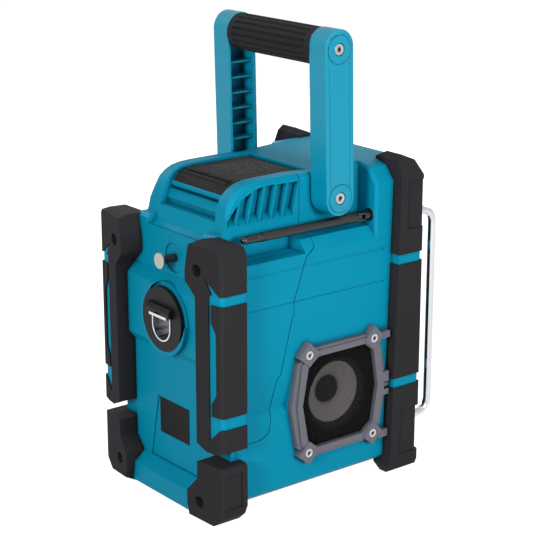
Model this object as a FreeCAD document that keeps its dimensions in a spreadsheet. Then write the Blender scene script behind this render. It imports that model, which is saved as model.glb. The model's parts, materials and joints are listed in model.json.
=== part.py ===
import FreeCAD, Part
import math
import os
import types

import Sketcher
from FreeCAD import Placement, Rotation, Vector

# Jobsite charger radio: two moulded shells in rubber corner bumpers, a fold-down handle,
# a lidded charging bay on top, a speaker in each side and a bottle opener on the back.
# Millimetres. +Z is up, the controls face -Y and the opener faces +Y.
# The origin is on the ground under the middle of the radio.

os.makedirs("parts", exist_ok=True)
doc = FreeCAD.newDocument("jobsite_radio")

SIZES = [
    # overall body
    ("half_wide", 102, "outer side of the rubber bumpers from the middle plane"),
    ("bumper_wrap", 13, "how far the rubber stands out from the side walls"),
    ("side_wall", "=half_wide - bumper_wrap", "outer face of the side walls"),
    ("rear_wall", 117, "rear wall beside the magnet"),
    ("label_wall", 120, "rear wall around the rating plate"),
    ("front_wall", 112, "front wall, towards -Y"),
    ("belly", 19, "underside of the shells above the ground"),
    ("belly_bevel", 5, "bevel between the side walls and the underside"),
    ("shoulder", 258, "top of the side walls and floor of the finger pocket"),
    ("wall", 4.5, "wall of the shells"),
    ("seam_gap", 0.6, "parting line between the shells"),
    # top of the body
    ("hump_half", 62, "side of the hump between the handle arms"),
    ("hump_top", 329, "top of the hump rims"),
    ("deck_top", 331, "top of the front deck"),
    ("deck_rear", 63.3, "rear face of the front pillars, towards -Y"),
    ("pillar_top", 313, "where the front pillars start to slope inwards"),
    ("pocket_front", 25.5, "front end of the finger pocket"),
    ("pocket_back", 67, "inner wall of the finger pocket"),
    ("shelf_top", 270, "shelf under the aerial"),
    ("trough_lip", 275, "rear lip of the trough for the folded grip"),
    # handle
    ("pivot_y", -18.3, "handle pivot"),
    ("pivot_z", 305, "handle pivot height"),
    ("arm_length", 144.6, "pivot to grip axis"),
    ("arm_lean", 3.6, "how far the upright arm leans back"),
    ("arm_half", 17.2, "half the width of an arm"),
    ("arm_thick", 24, "thickness of an arm"),
    ("arm_gap", 1.7, "washer between the hump and an arm"),
    ("arm_outer", "=hump_half + arm_gap + arm_thick", "outer face of the arms"),
    ("arm_crown", 2, "centre of the rounded arm top above the grip axis"),
    ("arm_wall", 3.2, "walls of the arm channel"),
    ("hub_radius", 13.5, "hubs round the handle screws"),
    ("rib_first", 31.4, "top rib of an arm below the grip axis"),
    ("rib_pitch", 15.8, "spacing of the ribs"),
    ("grip_radius", 18.4, "outside of the grip"),
    ("grip_tube", 12, "outside of the steel tube in the grip"),
    ("groove_radius", 1.3, "grooves along the grip"),
    ("handle_screw", 4, "shank of the handle screws"),
    ("handle_head", 5.6, "head of the handle screws"),
    ("running", 0.08, "radial clearance of a shaft in its bore"),
    # rear bumpers and boots
    ("bumper_front", 106.5, "front edge of the rear bumpers on the side"),
    ("bumper_rear", 133, "rear corner of the rear bumpers"),
    ("cap_top", 285, "top of the rear bumper caps"),
    ("cap_low", 237.6, "lower edge of the cap on the side"),
    ("band_high", 9.9, "height of the bands between the rubber panels"),
    ("bumper_bottom", 80, "lower end of the rear bumpers"),
    ("boot_top", 67, "top of the rear boots"),
    ("inset", 1.5, "depth of the bands and panels below the rubber"),
    ("bumper_hole", 6, "screw holes in the bumpers"),
    ("screw_seat", 12, "bottom of the screw holes behind the rear wall"),
    ("screw_x", "=half_wide - 33", "bumper screws from the middle plane"),
    ("screw_high", 257.5, "upper bumper screws"),
    ("screw_low", 24.5, "lower bumper screws"),
    # front bumpers and guard bars
    ("front_edge", 117, "front edge of the front bumpers, towards -Y"),
    ("front_back", 78, "rear edge of the front bumpers at the foot"),
    ("front_cap", 339.5, "top of the front bumpers"),
    ("front_inner", "=half_wide - 26", "inner edge of the front bumpers"),
    ("bar_radius", 4.2, "guard bar"),
    ("bar_x", "=half_wide - 12", "guard bars from the middle plane"),
    ("bar_front", 139.1, "axis of the guard bars, towards -Y"),
    ("bar_high", 277.5, "upper leg of the guard bars"),
    ("bar_low", 59, "lower leg of the guard bars"),
    ("bar_bend", 15, "bend of the guard bars"),
    # speakers
    ("grille_y", -15.5, "middle of the grilles"),
    ("grille_z", 106, "middle of the grilles"),
    ("grille_proud", 8, "how far the grille frames stand out"),
    ("ear_y", 42, "grille screws from the middle, along the body"),
    ("ear_z", 51, "grille screws from the middle, upright"),
    ("grille_head", 4.75, "head of the grille screws"),
    ("frame_high", 56.5, "half height of the grille frame"),
    ("frame_mid", 63, "half width of the grille frame"),
    ("mesh_high", 47.5, "half height of the mesh opening"),
    ("mesh_mid", 50, "half width of the mesh opening"),
    ("speaker_radius", 43, "speaker opening in the side wall"),
    # opener, magnet and rating plate
    ("opener_z", 190.7, "bottle opener height"),
    ("opener_radius", 32.5, "opener disc"),
    ("opener_face", 133, "outer face of the opener disc"),
    ("magnet_z", 250, "cap magnet height"),
    ("magnet_radius", 8, "cap magnet"),
    # aerial
    ("aerial_x", "=side_wall - 10", "aerial axis from the middle plane"),
    ("aerial_z", 280.2, "aerial axis height"),
    ("aerial_fold", -50, "fold axis of the aerial"),
    ("aerial_end", 71.5, "rear end of the outer tube"),
    ("aerial_radius", 4.6, "outer tube of the aerial"),
    ("tip_end", 96, "end of the aerial tip"),
    # charging bay and lid
    ("lid_half", 44, "half width of the lid"),
    ("lid_gap", 0.7, "gap round the lid"),
    ("pad_thick", 1.2, "pad on the lid"),
    ("hinge_y", -4, "lid hinge"),
    ("hinge_z", 320.5, "lid hinge height"),
    ("barrel", 4.5, "outside of the lid hinge barrel"),
    ("hinge_pin", 2, "lid hinge pin"),
    ("bay_half", 40, "half width of the charging bay"),
    ("bay_front", 5, "front wall of the charging bay"),
    ("bay_rear", 78, "rear wall of the charging bay"),
    ("bay_floor", 285, "floor of the charging bay"),
    # vents
    ("vent_depth", 8, "depth of the vents in the hump"),
    ("vent_pitch", 14, "spacing of the vent fins"),
    ("vent_first", 24, "first vent fin at its top"),
    ("vent_lean", 7, "how far a fin leans"),
    # controls
    ("panel_face", 126, "face of the control panel, towards -Y"),
    ("button_travel", 1.2, "travel of the buttons"),
    ("button_gap", 0.4, "gap round the buttons and the knob"),
    ("knob_radius", 19, "tuning knob"),
    ("panel_half", 62, "half width of the control panel"),
]

sheet = doc.addObject("Spreadsheet::Sheet", "Sizes")
for row, (alias, number, note) in enumerate(SIZES, start=1):
    sheet.set(f"A{row}", str(number))
    sheet.setAlias(f"A{row}", alias)
    sheet.set(f"B{row}", note)
doc.recompute()


class Size:
    """A number with the sheet expression that it comes from."""

    def __init__(self, number, text):
        self.number = float(number)
        self.text = text

    def __add__(self, other):
        other = as_size(other)
        return Size(self.number + other.number, f"({self.text} + {other.text})")

    def __sub__(self, other):
        other = as_size(other)
        return Size(self.number - other.number, f"({self.text} - {other.text})")

    def __mul__(self, other):
        other = as_size(other)
        return Size(self.number * other.number, f"({self.text} * {other.text})")

    def __neg__(self):
        return Size(-self.number, f"(0 - {self.text})")

    def __radd__(self, other):
        return as_size(other) + self

    def __rsub__(self, other):
        return as_size(other) - self

    def __rmul__(self, other):
        return as_size(other) * self


def as_size(value):
    return value if isinstance(value, Size) else Size(value, repr(float(value)))


S = types.SimpleNamespace(**{alias: Size(sheet.get(alias), f"Sizes.{alias}") for alias, _, _ in SIZES})


def bind(item, prop, value):
    item.setExpression(prop, as_size(value).text)


# Building blocks

PLANES = {"xy": "XY_Plane", "xz": "XZ_Plane", "yz": "YZ_Plane"}


def outline(body, plane, points, offset):
    """A closed polygon on one of the body's own planes, each corner tied to the sheet."""
    sketch = body.newObject("Sketcher::SketchObject", body.Name + "_outline")
    origin = next(f for f in body.Origin.OriginFeatures if f.Role == PLANES[plane])
    sketch.AttachmentSupport = (origin, [""])
    sketch.MapMode = "FlatFace"
    bind(sketch, "AttachmentOffset.Base.z", offset)
    corners = [(as_size(a), as_size(b)) for a, b in points]
    ends = corners[1:] + corners[:1]
    for (a, b), (c, d) in zip(corners, ends):
        start = Vector(a.number, b.number, 0)
        end = Vector(c.number, d.number, 0)
        sketch.addGeometry(Part.LineSegment(start, end), False)
    count = len(corners)
    rules = [Sketcher.Constraint("Coincident", i, 2, (i + 1) % count, 1) for i in range(count)]
    for i, (a, b) in enumerate(corners):
        rules.append(Sketcher.Constraint("DistanceX", i, 1, a.number))
        rules.append(Sketcher.Constraint("DistanceY", i, 1, b.number))
    sketch.addConstraint(rules)
    for i, (a, b) in enumerate(corners):
        bind(sketch, f"Constraints[{count + 2 * i}]", a)
        bind(sketch, f"Constraints[{count + 2 * i + 1}]", b)
    return sketch


def prism(label, plane, points, low, high):
    """A polygon padded from low to high along the axis that its plane faces."""
    low, high = as_size(low), as_size(high)
    body = doc.addObject("PartDesign::Body", label)
    sketch = outline(body, plane, points, -high if plane == "xz" else low)
    pad = body.newObject("PartDesign::Pad", label + "_pad")
    pad.Profile = sketch
    bind(pad, "Length", high - low)
    body.Tip = pad
    sketch.Visibility = False
    return body


AXES = {"x": Rotation(Vector(0, 1, 0), 90), "y": Rotation(Vector(1, 0, 0), -90), "z": Rotation()}


def place(item, axis, centre, low):
    """Stand an upright primitive or turned body along an axis."""
    a, b = centre
    spots = {"x": (low, a, b), "y": (a, low, b), "z": (a, b, low)}[axis]
    x, y, z = (as_size(v) for v in spots)
    item.Placement = Placement(Vector(x.number, y.number, z.number), AXES[axis])
    for name, value in zip("xyz", (x, y, z)):
        bind(item, f"Placement.Base.{name}", value)


def rod(label, axis, centre, radius, low, high):
    item = doc.addObject("Part::Cylinder", label)
    bind(item, "Radius", radius)
    bind(item, "Height", as_size(high) - low)
    place(item, axis, centre, low)
    return item


def block(label, xs, ys, zs):
    item = doc.addObject("Part::Box", label)
    for name, (low, high) in zip(("Length", "Width", "Height"), (xs, ys, zs)):
        bind(item, name, as_size(high) - low)
    place(item, "z", (xs[0], ys[0]), zs[0])
    return item


def turned(label, axis, centre, start, profile):
    """A profile of (radius, height) corners turned about an axis."""
    body = doc.addObject("PartDesign::Body", label)
    sketch = outline(body, "xz", profile, 0)
    turn = body.newObject("PartDesign::Revolution", label + "_turn")
    turn.Profile = sketch
    turn.ReferenceAxis = (sketch, ["V_Axis"])
    turn.Angle = 360
    body.Tip = turn
    place(body, axis, centre, start)
    return body


def bend(label, centre, radius, thick, first):
    """A quarter of a ring in the plane across X, starting at an angle from +Y."""
    item = doc.addObject("Part::Torus", label)
    bind(item, "Radius1", radius)
    bind(item, "Radius2", thick)
    item.Angle3 = 90
    x, y, z = (as_size(v) for v in centre)
    turn = Rotation(Vector(1, 0, 0), first) * Rotation(Vector(1, 1, 1), 120)
    item.Placement = Placement(Vector(x.number, y.number, z.number), turn)
    for name, value in zip("xyz", (x, y, z)):
        bind(item, f"Placement.Base.{name}", value)
    return item


def fuse(label, *items):
    item = doc.addObject("Part::MultiFuse", label)
    item.Shapes = list(items)
    item.Refine = True
    return item


def common(label, *items):
    item = doc.addObject("Part::MultiCommon", label)
    item.Shapes = list(items)
    return item


def cut(label, base, *tools):
    item = doc.addObject("Part::Cut", label)
    item.Base = base
    item.Tool = tools[0] if len(tools) == 1 else fuse(label + "_tools", *tools)
    item.Refine = True
    return item


def mirror(label, source):
    item = doc.addObject("Part::Mirroring", label)
    item.Source = source
    item.Normal = Vector(1, 0, 0)
    return item


def both(label, source):
    """A shape and its mirror image as one group of separate solids."""
    item = doc.addObject("Part::Compound", label)
    item.Links = [source, mirror(label + "_other", source)]
    return item


def soften(label, base, radius, wanted, kind="Part::Fillet"):
    """Round or bevel the edges that wanted() picks by their middle point and direction."""
    doc.recompute()
    edges = []
    for number, edge in enumerate(base.Shape.Edges, start=1):
        first, last = edge.ParameterRange
        middle = edge.valueAt((first + last) / 2)
        along = edge.tangentAt((first + last) / 2)
        if wanted(middle, along):
            edges.append((number, radius.number, radius.number))
    item = doc.addObject(kind, label)
    item.Base = base
    item.Edges = edges
    return item


def along_z(direction):
    return abs(direction.z) > 0.99


# Outer form of the two shells together, before they are hollowed and parted

def body_form():
    side, belly, bevel = S.side_wall, S.belly, S.belly_bevel
    main = prism("form_main", "xz", [
        (-side, belly + bevel), (bevel - side, belly), (side - bevel, belly),
        (side, belly + bevel), (side, S.shoulder), (-side, S.shoulder)], -S.front_wall, S.rear_wall)
    label_zone = block("form_label_zone", (-66, 66), (S.rear_wall - 1, S.label_wall), (belly, 156))
    boss = prism("form_boss_band", "yz", [
        (S.rear_wall - 1, S.opener_z + 43), (S.rear_wall + 10, S.opener_z + 32),
        (S.rear_wall + 10, S.opener_z - 30), (S.rear_wall - 1, S.opener_z - 44)], -70, 70)
    ring = rod("form_opener_ring", "y", (0, S.opener_z), S.opener_radius + 4.5,
               S.rear_wall - 1, S.opener_face - 0.5)
    hump = prism("form_hump", "yz", [
        (-S.deck_rear - 1, S.shoulder - 3), (S.rear_wall, S.shoulder - 3), (S.rear_wall, S.trough_lip),
        (112, S.trough_lip - 0.5), (107, S.trough_lip + 3), (103.5, S.trough_lip + 12),
        (101.5, 295), (99.5, 303.5), (96.8, 310.5), (92.5, 317.3), (86, 322.6), (78, 326.2),
        (68, S.hump_top - 0.9), (56, S.hump_top - 0.3), (19, S.hump_top), (-8, S.hump_top - 1.4),
        (-S.deck_rear - 1, S.deck_top)],
        -S.hump_half, S.hump_half)
    hump = soften("form_hump_soft", hump, Size(4, "4.0"),
                  lambda p, d: p.z > 310 and p.y > -64 and abs(p.x) > S.hump_half.number - 1,
                  "Part::Chamfer")
    cheek = prism("form_cheek", "yz", [
        (100, S.shoulder - 3), (S.rear_wall, S.shoulder - 3), (S.rear_wall, 281), (113, 284), (100, 284)],
        -S.hump_half, -46)
    shelf = prism("form_shelf", "xz", [
        (-side, S.shoulder - 3), (-side, S.shoulder), (9 - side, S.shelf_top),
        (1 - S.hump_half, S.shelf_top), (1 - S.hump_half, S.shoulder - 3)],
        -S.deck_rear - 1, S.pocket_front)
    deck = prism("form_deck", "xz", [
        (-side, S.shoulder - 3), (-side, S.pillar_top), (12 - side, S.pillar_top + 14),
        (-S.hump_half, S.deck_top), (S.hump_half, S.deck_top), (side - 12, S.pillar_top + 14),
        (side, S.pillar_top), (side, S.shoulder - 3)], -S.front_wall, -S.deck_rear)
    deck = soften("form_deck_soft", deck, Size(3.5, "3.5"),
                  lambda p, d: p.y > -S.deck_rear.number - 1 and abs(p.x) > S.hump_half.number + 1)
    bezel = prism("form_bezel", "yz", [
        (1 - S.front_wall, 46), (-S.front_wall - 6, 60), (2 - S.panel_face, 196),
        (2 - S.panel_face, 286), (-S.front_wall - 6, 306), (1 - S.front_wall, 314)], -70, 70)
    sill = prism("form_sill", "yz", [
        (104, belly + 1), (S.rear_wall, 36), (S.label_wall, 34.4), (S.bumper_rear, 24),
        (S.bumper_rear, 4), (S.bumper_rear - 3, 1.5), (108, 1.5), (100, belly + 1)], -62, 62)
    front_sill = prism("form_front_sill", "yz", [
        (-106, belly + 1), (-118, 34), (-118, 5), (-115, 1.5), (-100, 1.5), (-94, belly + 1)], -70, 70)
    pieces = [main, label_zone, boss, ring, hump, cheek, mirror("form_cheek_other", cheek),
              shelf, mirror("form_shelf_other", shelf), deck, bezel, sill, front_sill]
    return fuse("form", *pieces)


# Rubber bumpers: an envelope wrapped round each corner, cut by the bands and by the shells

def rear_envelope(label, shrink):
    """The outer skin of a rear bumper and its boot; shrink draws it in."""
    side = shrink - S.half_wide
    rear = S.bumper_rear - shrink
    plan = prism(label + "_plan", "xy", [
        (side, S.bumper_front + shrink), (side, rear), (side + 3, rear + 3),
        (-53, rear + 10.3), (-53, 100), (-80, 100), (-80, S.bumper_front + shrink)], 0, S.cap_top + 5)
    profile = prism(label + "_profile", "yz", [
        (100, shrink), (150, shrink), (150, S.cap_top - 5 - shrink), (128, S.cap_top - 1.5 - shrink),
        (S.bumper_front + 2, S.cap_top - 2.5 - shrink), (S.bumper_front, S.cap_top - 4.5 - shrink),
        (S.bumper_front, S.cap_top - 15 - shrink), (100, S.cap_top - 15 - shrink)], -S.half_wide, -50)
    return common(label, plan, profile)


def rear_face_outline():
    """Cap, strip and lower end of a rear bumper, seen from behind."""
    side = -S.half_wide - 1
    low = S.bumper_bottom
    return prism("rear_outline", "xz", [
        (side, low + 3), (-92, low), (-80, low), (-67, low + 6), (-67, 232), (-54, 245), (-54, 257),
        (-60, S.cap_top + 3), (9 - S.half_wide, S.cap_top + 3), (side, S.cap_top - 13)], 100, 150)


def band_tools():
    """The two bands and the window between strip and side panel, cut through the rubber."""
    top, high = S.cap_low, S.band_high
    side = -S.half_wide - 1
    upper = prism("band_upper_rear", "xz", [
        (-79, top + 14), (-98, top), (-98, top - high), (-87, top - high + 8), (-87, top + 1)],
        S.rear_wall - 1, 150)
    upper_side = block("band_upper_side", (side, -86), (100, 150), (top - high, top))
    low_top = S.bumper_bottom + 38
    lower = prism("band_lower_rear", "xz", [
        (-86.7, low_top - 12), (-98, low_top), (-98, low_top - 12), (-84, low_top - 26), (-84, low_top - 17)],
        S.rear_wall - 1, 150)
    lower_side = block("band_lower_side", (side, -86), (100, 150), (low_top - 12, low_top))
    window = prism("band_window", "xz", [
        (-84, 238), (-87.2, 236), (-87.2, 211), (-93.5, 200), (-93.5, 140), (-87.2, 130), (-87.2, 104),
        (-84, 98)], S.rear_wall - 1, 150)
    return fuse("rear_bands", upper, upper_side, lower, lower_side, window)


def front_envelope(label, shrink):
    side = shrink - S.half_wide
    edge = shrink - S.front_edge
    plan = prism(label + "_plan", "xy", [
        (side, edge + 2), (side + 3.5, edge - 1.5), (-S.front_inner, edge - 2.5), (-60, edge - 2.5),
        (-60, -70), (side, -70)], 0, S.front_cap + 5)
    profile = prism(label + "_profile", "yz", [
        (shrink - 125, shrink), (-S.front_back - 9 - shrink, shrink), (-S.front_back - shrink, 12 + shrink),
        (-S.front_back - 8 - shrink, 317),
        (-S.front_back - 9 - shrink, 334 - shrink), (-S.front_back - 14, S.front_cap - shrink),
        (-108, S.front_cap - 7 - shrink), (edge, 315), (edge - 4, 314)], -S.half_wide, -50)
    skin = prism(label + "_skin", "xz", [
        (side, 20), (side + 6, 6), (side + 16, shrink), (-S.front_inner, shrink), (-S.front_inner, 322),
        (-61, 326), (-61, 333.5 - shrink), (-72, S.front_cap - shrink),
        (side + 9, S.front_cap - shrink), (side, S.pillar_top + 4)], -125, -60)
    return common(label, plan, profile, skin)


def front_bands():
    first = block("front_band_upper", (-S.half_wide - 1, -60), (-125, -60), (229, 239))
    second = block("front_band_lower", (-S.half_wide - 1, -60), (-125, -60), (99, 109))
    return fuse("front_bands", first, second)


def rear_bumpers(form, bands):
    """Upper rear bumper and the separate boot below it."""
    envelope = rear_envelope("rear_skin", as_size(0))
    face = rear_face_outline()
    hole = rod("rear_hole_high", "y", (-S.screw_x, S.screw_high), S.bumper_hole, S.rear_wall + S.screw_seat, 160)
    shank = rod("rear_shank_high", "y", (-S.screw_x, S.screw_high), 2.5, 100, 160)
    blank = common("rear_bumper_blank", envelope, face)
    upper = cut("rear_bumper_left", blank, form, bands, hole, shank)
    boot_face = prism("boot_outline", "xz", [
        (-S.half_wide - 1, S.boot_top - 3), (3 - S.half_wide, S.boot_top), (-67, S.boot_top),
        (-67, 49), (-50, 30), (-54, 16), (-57, 0), (-72, 0), (-88, 5), (-98, 14), (-S.half_wide - 1, 26)],
        100, 150)
    toe = prism("boot_toe", "yz", [
        (100, 8), (108, 0), (128, 0), (150, 12), (150, S.boot_top), (100, S.boot_top)], -S.half_wide, -50)
    panel = block("boot_panel", (-S.half_wide - 1, S.inset - S.half_wide), (112.5, 140), (24, 59))
    low_hole = rod("rear_hole_low", "y", (-S.screw_x, S.screw_low), S.bumper_hole, S.rear_wall + S.screw_seat, 160)
    low_shank = rod("rear_shank_low", "y", (-S.screw_x, S.screw_low), 2.5, 100, 160)
    boot = cut("rear_boot_left", common("rear_boot_blank", envelope, boot_face, toe),
               form, panel, low_hole, low_shank)
    return upper, boot


def front_bumper(form, bands):
    envelope = front_envelope("front_skin", as_size(0))
    panel = block("front_cap_panel", (-S.half_wide - 1, S.inset - S.half_wide),
                  (-S.front_edge - 5, -94.6), (264, 313))
    brow = block("front_cap_brow", (-S.half_wide - 1, -60), (-S.front_edge - 5, S.inset - S.front_edge),
                 (264, 313))
    foot_panel = block("front_foot_panel", (-S.half_wide - 1, S.inset - S.half_wide),
                       (-S.front_edge - 5, -90), (24, 73.5))
    foot_brow = block("front_foot_brow", (-S.half_wide - 1, -60), (-S.front_edge - 5, 4 - S.front_edge),
                      (24, 73.5))
    high = rod("front_bar_hole_high", "y", (-S.bar_x, S.bar_high), S.bar_radius, -150, -96)
    low = rod("front_bar_hole_low", "y", (-S.bar_x, S.bar_low), S.bar_radius, -150, -96)
    return cut("front_bumper_left", envelope, form, bands, panel, brow, foot_panel, foot_brow, high,
               low)


def ridges(form, rear_tools, front_tools):
    """Teal ridges of the shells that fill the bands in the rubber."""
    rear_skin = rear_envelope("rear_ridge_skin", S.inset)
    rear = common("rear_ridges", rear_skin, rear_face_outline_copy(), rear_tools)
    front_skin = front_envelope("front_ridge_skin", S.inset)
    front = common("front_ridges", front_skin, front_tools)
    return [rear, mirror("rear_ridges_other", rear), front, mirror("front_ridges_other", front)]


def rear_face_outline_copy():
    """The ridges stop where the bumper does."""
    return prism("ridge_outline", "xz", [
        (-S.half_wide - 1, S.bumper_bottom + 8), (-68, S.bumper_bottom + 8),
        (-68, 250), (-S.half_wide - 1, 250)], 100, 150)


# The two shells

def opener_mouth(label, half, low, high):
    """Upright slot with a round foot, as wide as a crown cap."""
    z = S.opener_z
    upper = block(label + "_upper", (-half, half), (low, high), (z - 7, z + 6))
    foot = rod(label + "_foot", "y", (0, z - 7), half, low, high)
    return fuse(label, upper, foot)


def vent_tool():
    """An arched vent with leaning fins left standing in it."""
    face = -S.hump_half - 1
    back = S.vent_depth - S.hump_half
    arch = prism("vent_arch", "yz", [
        (98, 296), (89, 307), (80, 314.7), (66, 321.5), (52, 323.5), (13, 322), (19, 296)], face, back)
    sill = prism("vent_sill", "xz", [
        (face, 290), (1 - S.hump_half, 290), (back, 296.5), (face, 296.5)], 19.5, 99)
    fins = []
    for number in range(5):
        top = S.vent_first + S.vent_pitch * number
        fins.append(prism(f"vent_fin_{number + 1}", "yz", [
            (top, 330), (top + 2, 330), (top + S.vent_lean + 4, 285), (top + S.vent_lean + 2, 285)],
            face - 1, back))
    return cut("vent", fuse("vent_open", arch, sill), *fins)


def bay_tool():
    """Everything cut out of the hump for the lid and the charging bay."""
    gap, floor = S.lid_gap, S.hinge_z - S.barrel
    half = S.lid_half + gap
    front = S.hinge_y - S.barrel - S.pad_thick - gap
    seat = prism("lid_seat", "yz", [
        (front, 345), (front, floor + 2), (front + 3, floor - gap), (1.5, floor - gap), (3.5, 320.4),
        (60, 320.4), (71.5, 319.4), (79.2, 316.2), (83, 312), (84.5, 307.5), (112, 307.5), (112, 345)],
        -half, half)
    bevel = prism("lid_front_bevel", "yz", [
        (front - 4, 345), (front - 4, S.deck_top), (front + 1, S.deck_top - 5), (front + 1, 345)], -half, half)
    bay = block("bay_opening", (-S.bay_half, S.bay_half), (S.bay_front, S.bay_rear), (S.bay_floor, 330))
    finger = rod("finger_recess", "x", (98.5, 305), 7.5, -half, half)
    slot = prism("rear_slot", "yz", [(92, 293), (120, 293), (120, 299), (92, 299)], -46, 44)
    pin = rod("lid_pin_bore", "x", (S.hinge_y, S.hinge_z), S.hinge_pin, -half - 5, half + 5)
    return [seat, bevel, bay, finger, slot, pin]


def side_relief():
    """Grooves and the wedge-shaped recess in one side wall."""
    side = -S.side_wall
    upper = prism("side_groove_upper", "xz", [
        (side - 1, 248), (side, 248), (side + 1.2, 245), (side, 243.2), (side - 1, 243.2)], -75.5, 106)
    lower = prism("side_groove_lower", "xz", [
        (side - 1, 212.8), (side, 212.8), (side + 1.2, 211.5), (side, 208.6), (side - 1, 208.6)], -75.5, 106)
    wedge = prism("side_wedge", "xz", [
        (side - 1, 140.3), (side, 140.3), (side + 3.6, 107.5), (side, 101.5), (side - 1, 101.5)], 30, 112)
    limit = prism("side_wedge_limit", "yz", [
        (40.5, 141), (112, 141), (112, 101), (50.5, 101)], side - 1, side + 5)
    return [upper, lower, common("side_recess", wedge, limit)]


def shells():
    form = body_form()
    rear_tools, front_tools = band_tools(), front_bands()
    left_upper, left_boot = rear_bumpers(form, rear_tools)
    left_front = front_bumper(form, front_tools)
    solid = fuse("shell_solid", form, *ridges(form, rear_tools, front_tools))
    inner = S.side_wall - S.wall
    front = S.wall - S.front_wall
    hollow = block("hollow_main", (-inner, inner), (front, S.rear_wall - S.wall),
                   (S.belly + S.wall, S.shoulder - S.wall))
    hump_hollow = block("hollow_hump", (6 - S.hump_half, S.hump_half - 6), (front, 86), (240, S.bay_floor - 4))
    deck_hollow = block("hollow_deck", (-72, 72), (front, -S.deck_rear - S.wall), (240, 312))
    sides = side_relief()
    vent = vent_tool()
    doors = [rod("speaker_hole", "x", (S.grille_y, S.grille_z), S.speaker_radius, -S.side_wall - 1, -80)]
    pocket_floor = block("finger_pocket", (-S.side_wall - 1, -S.pocket_back), (S.pocket_front, 103),
                         (S.shoulder, 300))
    halves = sides + [vent] + doors + [pocket_floor]
    mirrored = [mirror(item.Name + "_other", item) for item in halves]
    dish = rod("magnet_dish", "y", (0, S.magnet_z), 15, S.rear_wall - 1.5, 140)
    post_hole = rod("magnet_post_hole", "y", (0, S.magnet_z), 4, 105, 130)
    opener_pocket = rod("opener_pocket", "y", (0, S.opener_z), S.opener_radius, S.opener_face - 6, 140)
    mouth = opener_mouth("opener_mouth_hole", 15.5, S.rear_wall - 6, 140)
    crescent = rod("opener_crescent", "y", (-5, S.opener_z + 6), S.opener_radius, S.opener_face - 4.5, 140)
    label = prism("label_recess", "xz", [
        (-27, 101.5), (-41, 34), (41, 34), (27, 101.5)], S.label_wall - 1.2, 125)
    screws = [rod(f"shell_screw_{n}", "y", (x, z), 2.5, 100, 140) for n, (x, z) in enumerate([
        (-S.screw_x, S.screw_high), (S.screw_x, S.screw_high), (-S.screw_x, S.screw_low),
        (S.screw_x, S.screw_low)])]
    bars = [rod(f"shell_bar_{n}", "y", (x, z), S.bar_radius, -150, -100) for n, (x, z) in enumerate([
        (-S.bar_x, S.bar_high), (S.bar_x, S.bar_high), (-S.bar_x, S.bar_low), (S.bar_x, S.bar_low)])]
    pivots = rod("pivot_bore", "x", (S.pivot_y, S.pivot_z), S.handle_screw, -80, 80)
    socket = rod("aerial_socket", "y", (-S.aerial_x, S.aerial_z), 6.5, -S.deck_rear - 4, -60)
    control = block("control_recess", (-S.panel_half, S.panel_half), (-140, 3 - S.panel_face), (194, 288))
    works = block("control_well", (-58, 58), (-140, front + 1), (200, 282))
    port = block("port_recess", (-22, 22), (-140, -S.front_wall - 1), (140, 168))
    port_well = block("port_well", (-17, 17), (-140, front + 1), (145, 163))
    tools = ([hollow, hump_hollow, deck_hollow] + bay_tool() + halves + mirrored + screws + bars
             + [dish, post_hole, opener_pocket, mouth, crescent, label, pivots, socket, control, works, port,
                port_well])
    whole = cut("shell_whole", solid, *tools)
    line = [(12, 400), (12, 262), (S.pocket_front - 1.5, S.shoulder - 3), (39.5, 212.7), (39.4, 198),
            (41.3, 197), (55.7, 141.2), (59.8, 138.4), (67.3, 106), (69.4, 88.5), (72, 83.5), (77, 80.8),
            (83.2, 79.5), (110, 79.5), (110, -10), (200, -10), (200, 400)]
    seam = prism("seam", "yz", line, -130, 130)
    inner_line = [(as_size(y) + S.seam_gap, as_size(z) + S.seam_gap) for y, z in line]
    rear = common("rear_shell", whole, prism("seam_inner", "yz", inner_line, -130, 130))
    front_half = cut("front_shell", whole, seam)
    return rear, front_half, left_upper, left_boot, left_front


rear_shell, front_shell, rear_bumper_left, rear_boot_left, front_bumper_left = shells()
rear_bumper_right = mirror("rear_bumper_right", rear_bumper_left)
rear_boot_right = mirror("rear_boot_right", rear_boot_left)
front_bumper_right = mirror("front_bumper_right", front_bumper_left)


# Fasteners of the bumpers, silver heads at the bottom of deep holes

def bumper_screws():
    pieces = []
    seat = S.rear_wall + S.screw_seat
    for number, z in enumerate((S.screw_high, S.screw_low), start=1):
        head = rod(f"bumper_head_{number}", "y", (-S.screw_x, z), 4.75, seat, seat + 3.5)
        socket = rod(f"bumper_socket_{number}", "y", (-S.screw_x, z), 2.2, seat + 1.5, seat + 5)
        shank = rod(f"bumper_shank_{number}", "y", (-S.screw_x, z), 2.5, 100, seat)
        pieces.append(fuse(f"bumper_screw_{number}", cut(f"bumper_top_{number}", head, socket), shank))
    group = doc.addObject("Part::Compound", "bumper_screws")
    group.Links = pieces + [mirror(item.Name + "_other", item) for item in pieces]
    return group


bumper_screw_group = bumper_screws()


# Guard bars: bent chrome rod in front of the control panel

def guard_bar():
    x, front, turn = -S.bar_x, -S.bar_front, S.bar_bend
    root = 4 - S.front_wall
    high, low, thick = S.bar_high, S.bar_low, S.bar_radius
    upper = rod("bar_upper", "y", (x, high), thick, front + turn, root)
    lower = rod("bar_lower", "y", (x, low), thick, front + turn, root)
    upright = rod("bar_upright", "z", (x, front), thick, low + turn, high - turn)
    top = bend("bar_top", (x, front + turn, high - turn), turn, thick, 90)
    foot = bend("bar_foot", (x, front + turn, low + turn), turn, thick, 180)
    return fuse("guard_bar_left", upper, lower, upright, top, foot)


guard_bar_left = guard_bar()
guard_bar_right = mirror("guard_bar_right", guard_bar_left)


# Speaker units behind their grilles

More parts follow.
